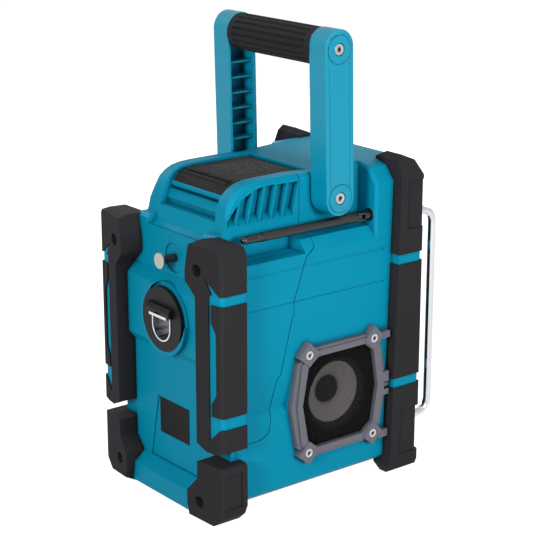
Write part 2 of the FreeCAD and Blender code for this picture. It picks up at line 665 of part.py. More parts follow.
def grille_frame():
    """Faceted ring with four screw ears and three tabs towards the front bumper."""
    y, z = S.grille_y, S.grille_z
    wall, face = -S.side_wall, -S.side_wall - S.grille_proud
    mid, high = S.frame_mid, S.frame_high
    ring = prism("grille_ring", "yz", [
        (y + 34, z + high), (y + 55, z + 44), (y + mid, z), (y + 55, z - 44), (y + 34, z - high),
        (y - 34, z - high), (y - 52, z - 44), (y - mid + 3, z), (y - 52, z + 44), (y - 34, z + high)],
        face + 1.5, wall)
    lip = prism("grille_lip", "yz", [
        (y + 33, z + high - 3), (y + 51, z + 42), (y + mid - 6, z), (y + 51, z - 42), (y + 33, z - high + 3),
        (y - 33, z - high + 3), (y - 50, z - 42), (y - mid + 7, z), (y - 50, z + 42), (y - 33, z + high - 3)],
        face, wall)
    opening = prism("grille_opening", "yz", [
        (y + 30, z + S.mesh_high), (y + 43, z + 38), (y + S.mesh_mid, z), (y + 43, z - 38),
        (y + 30, z - S.mesh_high), (y - 30, z - S.mesh_high), (y - 42, z - 38), (y - S.mesh_mid + 2, z),
        (y - 42, z + 38), (y - 30, z + S.mesh_high)], face - 1, wall + 1)
    ears = []
    for number, (side, up) in enumerate(((1, 1), (1, -1), (-1, 1), (-1, -1)), start=1):
        cy, cz = y + S.ear_y * side, z + S.ear_z * up
        ears.append(prism(f"grille_ear_{number}", "yz", [
            (cy + 13, cz - 1), (cy, cz + 13), (cy - 12, cz + 1), (cy, cz - 12)], face - 1, wall))
    tabs = [
        block("grille_tab_high", (face, wall), (y - 63.5, y - 50), (z + ear - 3, z + ear + 4))
        for ear in (S.ear_z,)]
    tabs.append(block("grille_tab_low", (face, wall), (y - 62.5, y - 50), (z - S.ear_z - 8, z - S.ear_z)))
    tabs.append(block("grille_tab_mid", (face, wall), (y - 63, y - 54), (z - 13, z + 12)))
    notch = block("grille_notch", (face - 1, wall + 1), (y - 65, y - 56.5), (z - 7, z + 1))
    latch = block("grille_latch", (face + 2, wall), (y - 64, y - 56), (z - 5, z - 1))
    holes = [rod(f"grille_hole_{n}", "x", (y + S.ear_y * side, z + S.ear_z * up),
                 S.grille_head + 0.2, face - 2, face + 3)
             for n, (side, up) in enumerate(((1, 1), (1, -1), (-1, 1), (-1, -1)), start=1)]
    body = fuse("grille_blank", ring, lip, *ears, *tabs)
    return fuse("grille_frame_left", cut("grille_cut", body, opening, notch, *holes), latch)


def grille_mesh():
    """Slightly crowned perforated sheet held in the frame."""
    y, z = S.grille_y, S.grille_z
    wall = -S.side_wall
    return prism("grille_mesh_left", "yz", [
        (y + 30, z + S.mesh_high), (y + 43, z + 38), (y + S.mesh_mid, z), (y + 43, z - 38),
        (y + 30, z - S.mesh_high), (y - 30, z - S.mesh_high), (y - 42, z - 38), (y - S.mesh_mid + 2, z),
        (y - 42, z + 38), (y - 30, z + S.mesh_high)], wall - 3.2, wall - 2)


def speaker_cone():
    radius = S.speaker_radius
    return turned("speaker_cone_left", "x", (S.grille_y, S.grille_z), 2 - S.side_wall, [
        (0, 6), (8, 8), (13, 12), (14.5, 15), (33, 3), (36, 0.5), (radius - 4, 3), (radius - 2.2, 3),
        (radius - 2.2, 4), (radius - 4, 4), (36, 1.7), (33, 4.4), (14.5, 16.5), (12, 14), (0, 8)])


def speaker_basket():
    """Steel frame: flange on the wall, sloping arms as one cone and a flat back."""
    radius, start = S.speaker_radius, S.wall - 0
    return turned("speaker_basket_left", "x", (S.grille_y, S.grille_z), -S.side_wall, [
        (radius - 1, 5), (radius - 1, start), (radius + 6, start), (radius + 6, start + 2),
        (radius + 1, start + 2), (24, start + 22), (24, start + 27), (10, start + 27),
        (10, start + 25), (22, start + 25), (22, start + 21)])


def speaker_magnet():
    start = S.wall + 27
    return turned("speaker_magnet_left", "x", (S.grille_y, S.grille_z), start - S.side_wall, [
        (0, 0), (30, 0), (31, 1), (31, 14), (30, 15), (0, 15)])


def grille_screws():
    y, z = S.grille_y, S.grille_z
    face = -S.side_wall - S.grille_proud
    pieces = []
    for number, (side, up) in enumerate(((1, 1), (1, -1), (-1, 1), (-1, -1)), start=1):
        spot = (y + S.ear_y * side, z + S.ear_z * up)
        head = rod(f"grille_head_{number}", "x", spot, S.grille_head, face - 0.6, face + 3)
        socket = rod(f"grille_socket_{number}", "x", spot, 2.4, face - 1, face + 1.4)
        pieces.append(cut(f"grille_screw_{number}", head, socket))
    group = doc.addObject("Part::Compound", "grille_screws")
    group.Links = pieces + [mirror(item.Name + "_other", item) for item in pieces]
    return group


grille_frame_left = grille_frame()
grille_mesh_left = grille_mesh()
speaker_cone_left = speaker_cone()
speaker_basket_left = speaker_basket()
speaker_magnet_left = speaker_magnet()
grille_frame_right = mirror("grille_frame_right", grille_frame_left)
grille_mesh_right = mirror("grille_mesh_right", grille_mesh_left)
speaker_cone_right = mirror("speaker_cone_right", speaker_cone_left)
speaker_basket_right = mirror("speaker_basket_right", speaker_basket_left)
speaker_magnet_right = mirror("speaker_magnet_right", speaker_magnet_left)
grille_screw_group = grille_screws()


# Bottle opener, cap magnet and rating plate on the back

def opener_disc():
    """Black disc with the hood over the mouth."""
    z, face = S.opener_z, S.opener_face
    disc = rod("opener_plate", "y", (0, z), S.opener_radius, face - 6, face)
    hood = rod("opener_hood_core", "x", (face + 1, z + 10), 5, -20, 20)
    hood_top = block("opener_hood_body", (-20, 20), (face - 1, face + 4), (z + 7, z + 15))
    mouth = opener_mouth("opener_mouth", 15.5, face - 7, face + 10)
    return cut("opener_disc", fuse("opener_blank", disc, hood, hood_top), mouth)


def opener_cup():
    """Chrome cup in the mouth, open to the back, with the tooth under the hood."""
    z, face = S.opener_z, S.opener_face
    shell = opener_mouth("cup_outer", 15.5, S.rear_wall - 6, face + 0.8)
    inside = opener_mouth("cup_inner", 13.8, S.rear_wall - 4.5, face + 2)
    tooth = block("cup_tooth", (-14.5, 14.5), (face - 3, face + 5), (z + 3, z + 6))
    return fuse("opener_cup", cut("cup_hollow", shell, inside), tooth)


def cap_magnet():
    z = S.magnet_z
    return rod("cap_magnet", "y", (0, z), S.magnet_radius, S.bumper_rear - 0.5, S.bumper_rear + 2)


def magnet_post():
    z = S.magnet_z
    return rod("magnet_post", "y", (0, z), 4, S.rear_wall - S.wall - 2, S.bumper_rear - 0.5)


def rating_plate():
    return block("rating_plate", (-24, 25), (S.label_wall - 1.2, S.label_wall - 0.6), (63, 100))


opener_disc_part = opener_disc()
opener_cup_part = opener_cup()
cap_magnet_part = cap_magnet()
magnet_post_part = magnet_post()
rating_plate_part = rating_plate()


# Handle: two channel arms, a grooved grip over a steel tube, and four socket screws

GRIP_Y = S.pivot_y + S.arm_lean
GRIP_Z = S.pivot_z + S.arm_length
RIBS = 6


def handle_arm():
    outer = -S.arm_outer
    inner = S.arm_thick - S.arm_outer
    half, wall = S.arm_half, S.arm_wall
    low, high = (S.pivot_y, S.pivot_z), (GRIP_Y, GRIP_Z)
    crown = (high[0], high[1] + S.arm_crown)
    slab = prism("arm_slab", "yz", [
        (low[0] - half, low[1]), (low[0] + half, low[1]), (crown[0] + half, crown[1]),
        (crown[0] - half, crown[1])], outer, inner)
    solid = fuse("arm_solid", slab, rod("arm_foot", "x", low, half, outer, inner),
                 rod("arm_head", "x", crown, half, outer, inner),
                 rod("arm_boss_low", "x", low, S.hub_radius, outer - 0.6, inner),
                 rod("arm_boss_high", "x", high, S.hub_radius, outer - 0.6, inner))
    hub = S.hub_radius
    channel = prism("arm_channel", "yz", [
        (low[0] - half + wall, low[1] + 8), (low[0] + half - wall, low[1] + 8),
        (high[0] + half - wall, high[1] - 8), (high[0] - half + wall, high[1] - 8)],
        outer + wall, inner + 1)
    keep = [rod("arm_hub_low", "x", low, hub, outer, inner + 2),
            rod("arm_hub_high", "x", high, hub, outer, inner + 2)]
    for number in range(RIBS):
        z = GRIP_Z - S.rib_first - S.rib_pitch * number
        keep.append(block(f"arm_rib_{number + 1}", (outer, inner - 3), (low[0] - half, high[0] + half),
                          (z - 1, z + 1)))
    hollow = cut("arm_hollow", channel, *keep)
    bore = rod("arm_bore", "x", low, S.handle_screw + S.running, outer - 2, inner + 2)
    sink = rod("arm_sink", "x", low, S.handle_head + 0.6, outer - 2, outer + 5.3)
    top_bore = rod("arm_top_bore", "x", high, S.handle_screw, outer - 2, inner + 2)
    top_sink = rod("arm_top_sink", "x", high, S.handle_head + 0.6, outer - 2, outer + 5)
    return cut("handle_arm_left", solid, hollow, bore, sink, top_bore, top_sink)


def handle_grip():
    """Black sleeve with grooves along it."""
    half = S.arm_outer - S.arm_thick
    body = doc.addObject("PartDesign::Body", "grip_sleeve")
    sketch = body.newObject("Sketcher::SketchObject", "grip_round")
    origin = next(f for f in body.Origin.OriginFeatures if f.Role == "YZ_Plane")
    sketch.AttachmentSupport = (origin, [""])
    sketch.MapMode = "FlatFace"
    sketch.addGeometry(Part.Circle(Vector(0, 0, 0), Vector(0, 0, 1), S.grip_radius.number), False)
    sketch.addConstraint(Sketcher.Constraint("Coincident", 0, 3, -1, 1))
    sketch.addConstraint(Sketcher.Constraint("Radius", 0, S.grip_radius.number))
    bind(sketch, "Constraints[1]", S.grip_radius)
    pad = body.newObject("PartDesign::Pad", "grip_pad")
    pad.Profile = sketch
    bind(pad, "Length", half * 2)
    pad.Midplane = True
    doc.recompute()
    line = body.newObject("Sketcher::SketchObject", "grip_groove")
    line.AttachmentSupport = (origin, [""])
    line.MapMode = "FlatFace"
    line.addGeometry(Part.Circle(Vector(S.grip_radius.number, 0, 0), Vector(0, 0, 1), 1.3), False)
    line.addConstraint(Sketcher.Constraint("PointOnObject", 0, 3, -1))
    line.addConstraint(Sketcher.Constraint("DistanceX", 0, 3, S.grip_radius.number))
    line.addConstraint(Sketcher.Constraint("Radius", 0, S.groove_radius.number))
    bind(line, "Constraints[1]", S.grip_radius + 0.2)
    bind(line, "Constraints[2]", S.groove_radius)
    groove = body.newObject("PartDesign::Pocket", "grip_groove_cut")
    groove.Profile = line
    bind(groove, "Length", half * 2 - 16)
    groove.Midplane = True
    body.Tip = groove
    doc.recompute()
    ring = body.newObject("PartDesign::PolarPattern", "grip_grooves")
    ring.Originals = [groove]
    ring.Axis = (sketch, ["N_Axis"])
    ring.Angle = 360
    ring.Occurrences = 18
    body.Tip = ring
    place(body, "z", (0, GRIP_Y), GRIP_Z)
    bore = rod("grip_bore", "x", (GRIP_Y, GRIP_Z), S.grip_tube, -half - 1, half + 1)
    return cut("handle_grip", body, bore)


def grip_tube():
    half = S.arm_outer - S.arm_thick
    outer = rod("tube_outer", "x", (GRIP_Y, GRIP_Z), S.grip_tube, -half, half)
    inner = rod("tube_inner", "x", (GRIP_Y, GRIP_Z), S.handle_screw, -half - 1, half + 1)
    return cut("grip_tube", outer, inner)


def handle_screws(label, spot, end, sink):
    """A pair of socket screws, heads sunk in the arms."""
    seat = -S.arm_outer + sink
    head = rod(label + "_head", "x", spot, S.handle_head, seat - 5, seat)
    socket = rod(label + "_socket", "x", spot, 2.6, seat - 6, seat - 2)
    shank = rod(label + "_shank", "x", spot, S.handle_screw, seat, end)
    return both(label, fuse(label + "_left", cut(label + "_top", head, socket), shank))


handle_arm_left = handle_arm()
handle_arm_right = mirror("handle_arm_right", handle_arm_left)
handle_grip_part = handle_grip()
grip_tube_part = grip_tube()
pivot_screws = handle_screws("pivot_screws", (S.pivot_y, S.pivot_z), -50, 5)
grip_screws = handle_screws("grip_screws", (GRIP_Y, GRIP_Z), -40, 5)


# Pivot washers that keep the arms off the hump

def pivot_washers():
    inner = S.arm_thick - S.arm_outer
    ring = rod("washer_ring", "x", (S.pivot_y, S.pivot_z), 12, inner + 0.35, -S.hump_half)
    hole = rod("washer_hole", "x", (S.pivot_y, S.pivot_z), S.handle_screw, -80, -50)
    return both("pivot_washers", cut("pivot_washer_left", ring, hole))


pivot_washer_pair = pivot_washers()


# Folding telescopic aerial

AERIAL = (-S.aerial_x, S.aerial_z)


def aerial_mount():
    plate = rod("mount_plate", "y", AERIAL, 6.5, -S.deck_rear - 4, 0.6 - S.deck_rear)
    return cut("aerial_mount", plate, rod("mount_bore", "y", AERIAL, 2.5 + S.running, -70, -60))


def aerial_knuckle():
    """Swivel stub with two cheeks and the cross pin."""
    fold = S.aerial_fold
    x, z = AERIAL
    spigot = rod("knuckle_spigot", "y", AERIAL, 2.5, 1 - S.deck_rear - S.wall, fold - 5)
    stub = rod("knuckle_stub", "y", AERIAL, 5, 0.95 - S.deck_rear, fold - 4.6)
    blank = block("knuckle_blank", (x - 4, x + 4), (fold - 4.8, fold), (z - 4.2, z + 4.2))
    nose = rod("knuckle_nose", "z", (x, fold), 4, z - 4.2, z + 4.2)
    slot = block("knuckle_slot", (x - 6, x + 6), (fold - 4.6, fold + 6), (z - 2.3, z + 2.3))
    pin = rod("knuckle_pin", "z", (x, fold), 1.5, z - 4.2, z + 4.2)
    return fuse("aerial_knuckle", cut("knuckle_fork", fuse("knuckle_solid", spigot, stub, blank, nose), slot), pin)


def aerial_tube():
    """Tongue, sleeve and outer tube."""
    fold = S.aerial_fold
    x, z = AERIAL
    tongue = rod("tongue_round", "z", (x, fold), 4, z - 2, z + 2)
    web = block("tongue_web", (x - 3, x + 3), (fold, fold + 7), (z - 2, z + 2))
    sleeve = rod("aerial_sleeve", "y", AERIAL, S.aerial_radius + 0.7, fold + 5.6, fold + 19)
    tube = rod("aerial_outer", "y", AERIAL, S.aerial_radius, fold + 19, S.aerial_end)
    bore = rod("aerial_bore", "y", AERIAL, 2.85, fold + 24, S.aerial_end + 1)
    hole = rod("tongue_hole", "z", (x, fold), 1.5 + S.running, z - 5, z + 5)
    return cut("aerial_tube", fuse("aerial_tube_solid", tongue, web, sleeve, tube), bore, hole)


def aerial_middle():
    rod_part = rod("middle_rod", "y", AERIAL, 2.85 - S.running, S.aerial_fold + 26, S.aerial_end + 2.4)
    collar = rod("middle_collar", "y", AERIAL, S.aerial_radius - 0.3, S.aerial_end + 0.4, S.aerial_end + 2.4)
    bore = rod("middle_bore", "y", AERIAL, 1.9, S.aerial_fold + 30, S.aerial_end + 5)
    return cut("aerial_middle", fuse("middle_solid", rod_part, collar), bore)


def aerial_tip():
    start, end = S.aerial_end + 2.8, S.tip_end
    inner = rod("tip_rod", "y", AERIAL, 1.9 - S.running, S.aerial_fold + 32, start + 2)
    collar = rod("tip_collar", "y", AERIAL, S.aerial_radius - 0.3, start, start + 2)
    knob = turned("tip_knob", "y", AERIAL, start + 2, [
        (0, 0), (S.aerial_radius - 0.6, 0), (S.aerial_radius - 0.5, end - start - 8),
        (S.aerial_radius - 0.8, end - start - 5.4), (S.aerial_radius - 1.8, end - start - 3.2),
        (S.aerial_radius - 3.2, end - start - 2.2), (0, end - start - 2)])
    return fuse("aerial_tip", inner, collar, knob)


aerial_mount_part = aerial_mount()
aerial_knuckle_part = aerial_knuckle()
aerial_tube_part = aerial_tube()
aerial_middle_part = aerial_middle()
aerial_tip_part = aerial_tip()


# Charging bay: lid with its pad, hinge pin, liner and terminal block

def lid_points(rise):
    """Top line of the lid from the hinge to the rear lip, raised by rise."""
    return [(S.hinge_y, S.hinge_z + S.barrel + rise), (60, 325.4 + rise), (73, 324.2 + rise),
            (82, 320.8 + rise), (87.4, 314.8 + rise), (88.5, 313)]


def charger_lid():
    half = S.lid_half
    plate = prism("lid_plate", "yz", lid_points(as_size(0)) + [
        (88.5, 309.8), (86, 309.8), (84.4, 312.5), (80, 317), (72, 320.3), (60, 321.4), (4, 321.4),
        (S.hinge_y, S.hinge_z)], -half, half)
    barrel = rod("lid_barrel", "x", (S.hinge_y, S.hinge_z), S.barrel, -half, half)
    bore = rod("lid_bore", "x", (S.hinge_y, S.hinge_z), S.hinge_pin + S.running, -half - 1, half + 1)
    return cut("charger_lid", fuse("lid_solid", plate, barrel), bore)


def lid_pad():
    """Black textured pad with two bars, a notch between them, on the lid."""
    half = S.lid_half - 3
    top = lid_points(S.pad_thick)[:5]
    base = lid_points(as_size(0))[:5]
    pad = prism("pad_sheet", "yz", top + list(reversed(base)), -half, half)
    bars = []
    for number, (y, z) in enumerate(((74, 325.2), (79.5, 323.0)), start=1):
        bars.append(prism(f"pad_bar_{number}", "yz", [
            (y - 1.6, z - 0.4), (y + 1.6, z - 1.4), (y + 1.3, z + 1.4), (y - 1.3, z + 2.4)], -34, 34))
    notch = block("pad_notch", (-2.5, 2.5), (70, 84), (325.6, 332))
    return cut("lid_pad", fuse("pad_solid", pad, *bars), notch)


def lid_hinge_pin():
    half = S.lid_half + S.lid_gap + 4
    return rod("lid_hinge_pin", "x", (S.hinge_y, S.hinge_z), S.hinge_pin, -half, half)


def charger_cradle():
    """Black tray in the bay with two rails for a battery."""
    half = S.bay_half
    tray = block("cradle_outer", (-half, half), (S.bay_front, S.bay_rear), (S.bay_floor, S.bay_floor + 24))
    inside = block("cradle_inner", (2 - half, half - 2), (S.bay_front + 2, S.bay_rear - 2),
                   (S.bay_floor + 3, S.bay_floor + 30))
    rail = prism("cradle_rail", "xz", [
        (1 - half, S.bay_floor + 12), (9 - half, S.bay_floor + 12), (9 - half, S.bay_floor + 15),
        (1 - half, S.bay_floor + 15)], S.bay_front + 14, S.bay_rear - 1)
    return fuse("charger_cradle", cut("cradle_hollow", tray, inside), rail, mirror("cradle_rail_other", rail))


def charger_terminals():
    """Terminal block with four blades in its slots."""
    floor = S.bay_floor + 3
    base = block("terminal_base", (-24, 24), (54, 74), (floor, floor + 9))
    pieces = [base]
    for number in range(4):
        x = number * 12 - 18
        pieces.append(block(f"terminal_blade_{number + 1}", (x - 0.6, x + 0.6), (36, 56), (floor, floor + 8)))
    return fuse("charger_terminals", *pieces)


charger_lid_part = charger_lid()
lid_pad_part = lid_pad()
lid_pin_part = lid_hinge_pin()
cradle_part = charger_cradle()
terminal_part = charger_terminals()


# Control panel on the front: display, knob, buttons and covered sockets

PANEL_Z = 241
PRESET_X = (-50, -36, -22, -8, 6)


def button_spots():
    spots = [(f"preset_button_{n}", x, 210, 5.2, 3.6) for n, x in enumerate(PRESET_X, start=1)]
    spots.append(("power_button", -50, 228, 5.2, 4.6))
    return spots


def control_panel():
    back, face = 3 - S.panel_face, -S.panel_face
    plate = block("panel_plate", (-S.panel_half, S.panel_half), (face, back), (194, 288))
    holes = [block("panel_window", (-44, 8), (face - 1, back + 1), (240, 276)),
             rod("panel_knob_hole", "y", (36, 250), 4.4, face - 1, back + 1)]
    for name, x, z, wide, high in button_spots():
        holes.append(block("panel_hole_" + name, (x - wide - S.button_gap, x + wide + S.button_gap),
                           (face - 1, back + 1), (z - high - S.button_gap, z + high + S.button_gap)))
    return cut("control_panel", plate, *holes)


def display_window():
    face = -S.panel_face
    return block("display_window", (-44, 8), (face + 0.4, face + 3), (240, 276))


def display_module():
    face = -S.panel_face
    return block("display_module", (-46, 10), (face + 3, face + 9), (238, 278))


def button(name, x, z, wide, high):
    """A key cap with a stem that the board's switch carries."""
    face = -S.panel_face
    cap = block(name + "_cap", (x - wide, x + wide), (face - 2, face + 3.5), (z - high, z + high))
    return soften(name, cap, Size(0.8, "0.8"), lambda p, d: p.y < face.number - 1.9)


def tuning_knob():
    face = -S.panel_face
    return turned("knob_solid", "y", (36, 250), face - 14, [
        (0, 1), (15, 0), (16.5, 0), (18, 1.5), (S.knob_radius, 13.5), (4, 13.5), (4, 22), (0, 22)])


def port_cover():
    """Rubber flap over the sockets, hinged along its upper edge."""
    flap = block("port_flap", (-21.5, 21.5), (-125, -121), (141, 167.5))
    return soften("port_cover", flap, Size(1.5, "1.5"), lambda p, d: p.y < -124.9)


def port_block():
    face = -S.front_wall
    body = block("port_body", (-17, 17), (face - 3, face + 10), (145, 163))
    jack = rod("port_jack", "y", (-9, 154), 2, face - 4, face + 8)
    usb = block("port_usb", (2, 14), (face - 4, face + 8), (151.5, 156.5))
    return cut("port_block", body, jack, usb)


def main_board():
    """Circuit board on four posts behind the control panel."""
    front = S.wall - S.front_wall
    board = block("board_plate", (-60, 60), (front + 6, front + 7.6), (130, 236))
    posts = [rod(f"board_post_{n}", "y", (x, z), 3, front, front + 6)
             for n, (x, z) in enumerate(((-56, 134), (56, 134), (-56, 190), (56, 190)), start=1)]
    chips = [block("board_chip_1", (-20, 10), (front + 7.6, front + 10), (180, 210)),
             block("board_chip_2", (20, 44), (front + 7.6, front + 20), (150, 170))]
    return fuse("main_board", board, *posts, *chips)


def power_supply():
    floor = S.belly + S.wall
    case = block("supply_case", (-34, 34), (-36, 60), (floor, floor + 46))
    return soften("power_supply", case, Size(3.0, "3.0"), lambda p, d: along_z(d))


def cooling_fan():
    """Square fan on the rear wall, between the opener and the rating plate."""
    wall = S.rear_wall - S.wall
    frame = block("fan_frame", (-25, 25), (wall - 14, wall), (96, 146))
    hole = rod("fan_hole", "y", (0, 121), 22, wall - 15, wall - 2)
    hub = rod("fan_hub", "y", (0, 121), 8, wall - 12, wall - 1)
    blades = []
    for number in range(7):
        blade = block(f"fan_blade_{number + 1}", (6, 20.5), (-1, 1), (-4, 4))
        turn = Rotation(Vector(0, 1, 0), number * 360.0 / 7) * Rotation(Vector(1, 0, 0), 50)
        blade.setExpression("Placement.Base.x", None)
        blade.setExpression("Placement.Base.y", None)
        blade.setExpression("Placement.Base.z", None)
        start = turn.multVec(Vector(6, -1, -4))
        blade.Placement = Placement(Vector(0, wall.number - 7, 121) + start, turn)
        blades.append(blade)
    return fuse("cooling_fan", cut("fan_cut", frame, hole), hub, *blades)


control_panel_part = control_panel()
window_part = display_window()
module_part = display_module()
buttons = [button(*spot) for spot in button_spots()]
knob_part = tuning_knob()
port_cover_part = port_cover()
port_block_part = port_block()
board_part = main_board()
supply_part = power_supply()
fan_part = cooling_fan()

NODES = {
    "rear_shell": rear_shell, "front_shell": front_shell,
    "rear_bumper_left": rear_bumper_left, "rear_bumper_right": rear_bumper_right,
    "rear_boot_left": rear_boot_left, "rear_boot_right": rear_boot_right,
    "front_bumper_left": front_bumper_left, "front_bumper_right": front_bumper_right,
    "bumper_screws": bumper_screw_group,
    "guard_bar_left": guard_bar_left, "guard_bar_right": guard_bar_right,
    "grille_frame_left": grille_frame_left, "grille_frame_right": grille_frame_right,
    "grille_mesh_left": grille_mesh_left, "grille_mesh_right": grille_mesh_right,
    "speaker_cone_left": speaker_cone_left, "speaker_cone_right": speaker_cone_right,
    "speaker_basket_left": speaker_basket_left, "speaker_basket_right": speaker_basket_right,
    "speaker_magnet_left": speaker_magnet_left, "speaker_magnet_right": speaker_magnet_right,
    "grille_screws": grille_screw_group,
    "opener_disc": opener_disc_part, "opener_cup": opener_cup_part,
    "cap_magnet": cap_magnet_part, "magnet_post": magnet_post_part, "rating_plate": rating_plate_part,
    "handle_arm_left": handle_arm_left, "handle_arm_right": handle_arm_right,
    "handle_grip": handle_grip_part, "grip_tube": grip_tube_part,
    "pivot_screws": pivot_screws, "grip_screws": grip_screws, "pivot_washers": pivot_washer_pair,
    "aerial_mount": aerial_mount_part, "aerial_knuckle": aerial_knuckle_part,
    "aerial_tube": aerial_tube_part, "aerial_middle": aerial_middle_part, "aerial_tip": aerial_tip_part,
    "charger_lid": charger_lid_part, "lid_pad": lid_pad_part, "lid_hinge_pin": lid_pin_part,
    "charger_cradle": cradle_part, "charger_terminals": terminal_part,
    "control_panel": control_panel_part, "display_window": window_part, "display_module": module_part,
    "tuning_knob": knob_part, "port_cover": port_cover_part, "port_block": port_block_part,
    "main_board": board_part, "power_supply": supply_part, "cooling_fan": fan_part,
}
for spot, item in zip(button_spots(), buttons):
    NODES[spot[0]] = item


def check_and_write():
    doc.recompute()
    bad = [item.Name for item in doc.Objects if {"Invalid", "Error"} & set(item.State)]
    if bad:
        raise RuntimeError("objects that failed: " + ", ".join(bad))
    for name, item in NODES.items():
        item.Label = name
    for name, item in NODES.items():
        shape = item.Shape
        if shape.isNull() or not shape.isValid() or not shape.Solids:
            raise RuntimeError(f"{name} has no valid solid")
    for name, item in NODES.items():
        item.Shape.exportStep(f"parts/{name}.step")
        box = item.Shape.BoundBox
        print(f"{name}: {len(item.Shape.Solids)} solid, {item.Shape.Volume / 1000:.1f} cm3, "
              f"X {box.XMin:.1f}..{box.XMax:.1f} Y {box.YMin:.1f}..{box.YMax:.1f} "
              f"Z {box.ZMin:.1f}..{box.ZMax:.1f}")


check_and_write()
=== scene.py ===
# %% [markdown]
# # A jobsite charger radio
# The solids of the radio come in as a fixed frame: shells, rubber bumpers, handle, grilles,
# lid, aerial and the works inside. This lesson dresses them. Nearly every part gets softened
# edges, every part gets a finish, and the fine pieces that a moulding or a pressing shows,
# such as the perforated sheets and the dots of the pad, are made here by hand.

import json
import math
import bpy
import bmesh
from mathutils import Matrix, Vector
from mathutils.geometry import convex_hull_2d

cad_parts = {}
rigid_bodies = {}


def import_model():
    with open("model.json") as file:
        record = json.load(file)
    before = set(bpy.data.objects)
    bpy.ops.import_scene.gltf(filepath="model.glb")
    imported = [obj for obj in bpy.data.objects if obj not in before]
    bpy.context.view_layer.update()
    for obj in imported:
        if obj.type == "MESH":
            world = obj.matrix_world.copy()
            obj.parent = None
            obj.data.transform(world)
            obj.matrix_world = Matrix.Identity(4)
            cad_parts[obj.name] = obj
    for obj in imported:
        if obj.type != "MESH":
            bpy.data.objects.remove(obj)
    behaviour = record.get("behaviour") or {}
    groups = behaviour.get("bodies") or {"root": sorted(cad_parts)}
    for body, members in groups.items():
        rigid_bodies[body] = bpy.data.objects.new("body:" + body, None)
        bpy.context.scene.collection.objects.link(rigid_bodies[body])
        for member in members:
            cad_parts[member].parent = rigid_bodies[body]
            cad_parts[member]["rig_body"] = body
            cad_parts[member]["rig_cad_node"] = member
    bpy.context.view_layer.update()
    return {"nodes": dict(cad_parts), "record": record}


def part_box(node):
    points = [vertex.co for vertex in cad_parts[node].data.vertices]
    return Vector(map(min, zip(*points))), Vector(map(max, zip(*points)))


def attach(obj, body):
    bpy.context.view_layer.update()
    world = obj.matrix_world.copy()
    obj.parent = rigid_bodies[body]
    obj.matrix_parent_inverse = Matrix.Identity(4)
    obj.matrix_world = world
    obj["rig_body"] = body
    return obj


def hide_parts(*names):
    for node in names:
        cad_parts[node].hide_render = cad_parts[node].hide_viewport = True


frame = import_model()
nodes = frame["nodes"]

# %% [markdown]
# ## Small helpers
# Operators act on whatever is selected, so every piece starts from an empty selection.
# A finished piece keeps its object at the origin, with its place in the mesh.
# Lengths are in metres.

# %% Select, add, carve and join


def only(obj):
    bpy.ops.object.select_all(action="DESELECT")
    obj.select_set(True)
    bpy.context.view_layer.objects.active = obj


def added(operator, **settings):
    """The object that an operator adds, from an empty selection."""
    bpy.ops.object.select_all(action="DESELECT")
    operator(**settings)
    return bpy.context.object


def settle(obj):
    """Put the object's place into its mesh."""
    only(obj)
    bpy.ops.object.transform_apply(location=True, rotation=True, scale=True)


def apply_all(obj):
    only(obj)
    for modifier in list(obj.modifiers):
        bpy.ops.object.modifier_apply(modifier=modifier.name)


def carve(obj, cutter):
    """Take the cutter's shape out of the object, and remove the cutter."""
    hole = obj.modifiers.new("hole", "BOOLEAN")
    hole.operation = "DIFFERENCE"
    hole.solver = "EXACT"
    hole.object = cutter
    apply_all(obj)
    bpy.data.objects.remove(cutter)


def joined(pieces):
    """All the pieces as one object, which is the first of them."""
    bpy.ops.object.select_all(action="DESELECT")
    for piece in pieces:
        piece.select_set(True)
    bpy.context.view_layer.objects.active = pieces[0]
    bpy.ops.object.join()
    return pieces[0]


# %% [markdown]
# ## Finishes
# A moulded plastic is one colour, but no two spots of it look the same: the tool's spark
# texture breaks up the gloss, handling polishes the high spots, and dust dulls the rest.
# Each finish here is a principled shader with a slow stain, a fine grain for the bump, a
# lighter line where the Bevel node finds an edge, which is a painted highlight, and a darker
# tone in grooves and corners, which is painted shade from the Ambient Occlusion node.

# %% Two nodes that every finish uses


def ranged(tree, value, source, target):
    """The result of a Map Range node, which takes a value from one range to another."""
    node = tree.nodes.new("ShaderNodeMapRange")
    for key, number in zip(("From Min", "From Max", "To Min", "To Max"), (*source, *target)):
        node.inputs[key].default_value = number
    tree.links.new(value, node.inputs["Value"])
    return node.outputs["Result"]


def blended(tree, first, second, factor):
    """The result of a Mix node. Both entries are either a colour or a socket."""
    node = tree.nodes.new("ShaderNodeMix")
    node.data_type = "RGBA"
    for key, entry in (("A", first), ("B", second)):
        if isinstance(entry, bpy.types.NodeSocket):
            tree.links.new(entry, node.inputs[key])
        else:
            node.inputs[key].default_value = (*entry, 1)
    tree.links.new(factor, node.inputs["Factor"])
    return node.outputs["Result"]


# %% A moulded finish
STAIN_SCALE, STAIN_DETAIL, GRAIN_DETAIL = 9.0, 4.0, 2.0
EDGE_RADIUS, EDGE_TURN = 0.0005, 0.85
# Gain and lift of the lighter edge colour, a painted highlight.
HIGHLIGHT_GAIN, HIGHLIGHT_LIFT = 1.5, 0.02
# Reach, opening and tone of the painted shade in grooves and corners.
SHADE_REACH, SHADE_OPEN, SHADE_TONE = 0.007, (0.3, 0.92), 0.32
GLOSS_DOWN, GLOSS_UP, SMOOTHEST = 0.06, 0.08, 0.03
BUMP_STRENGTH = 0.8


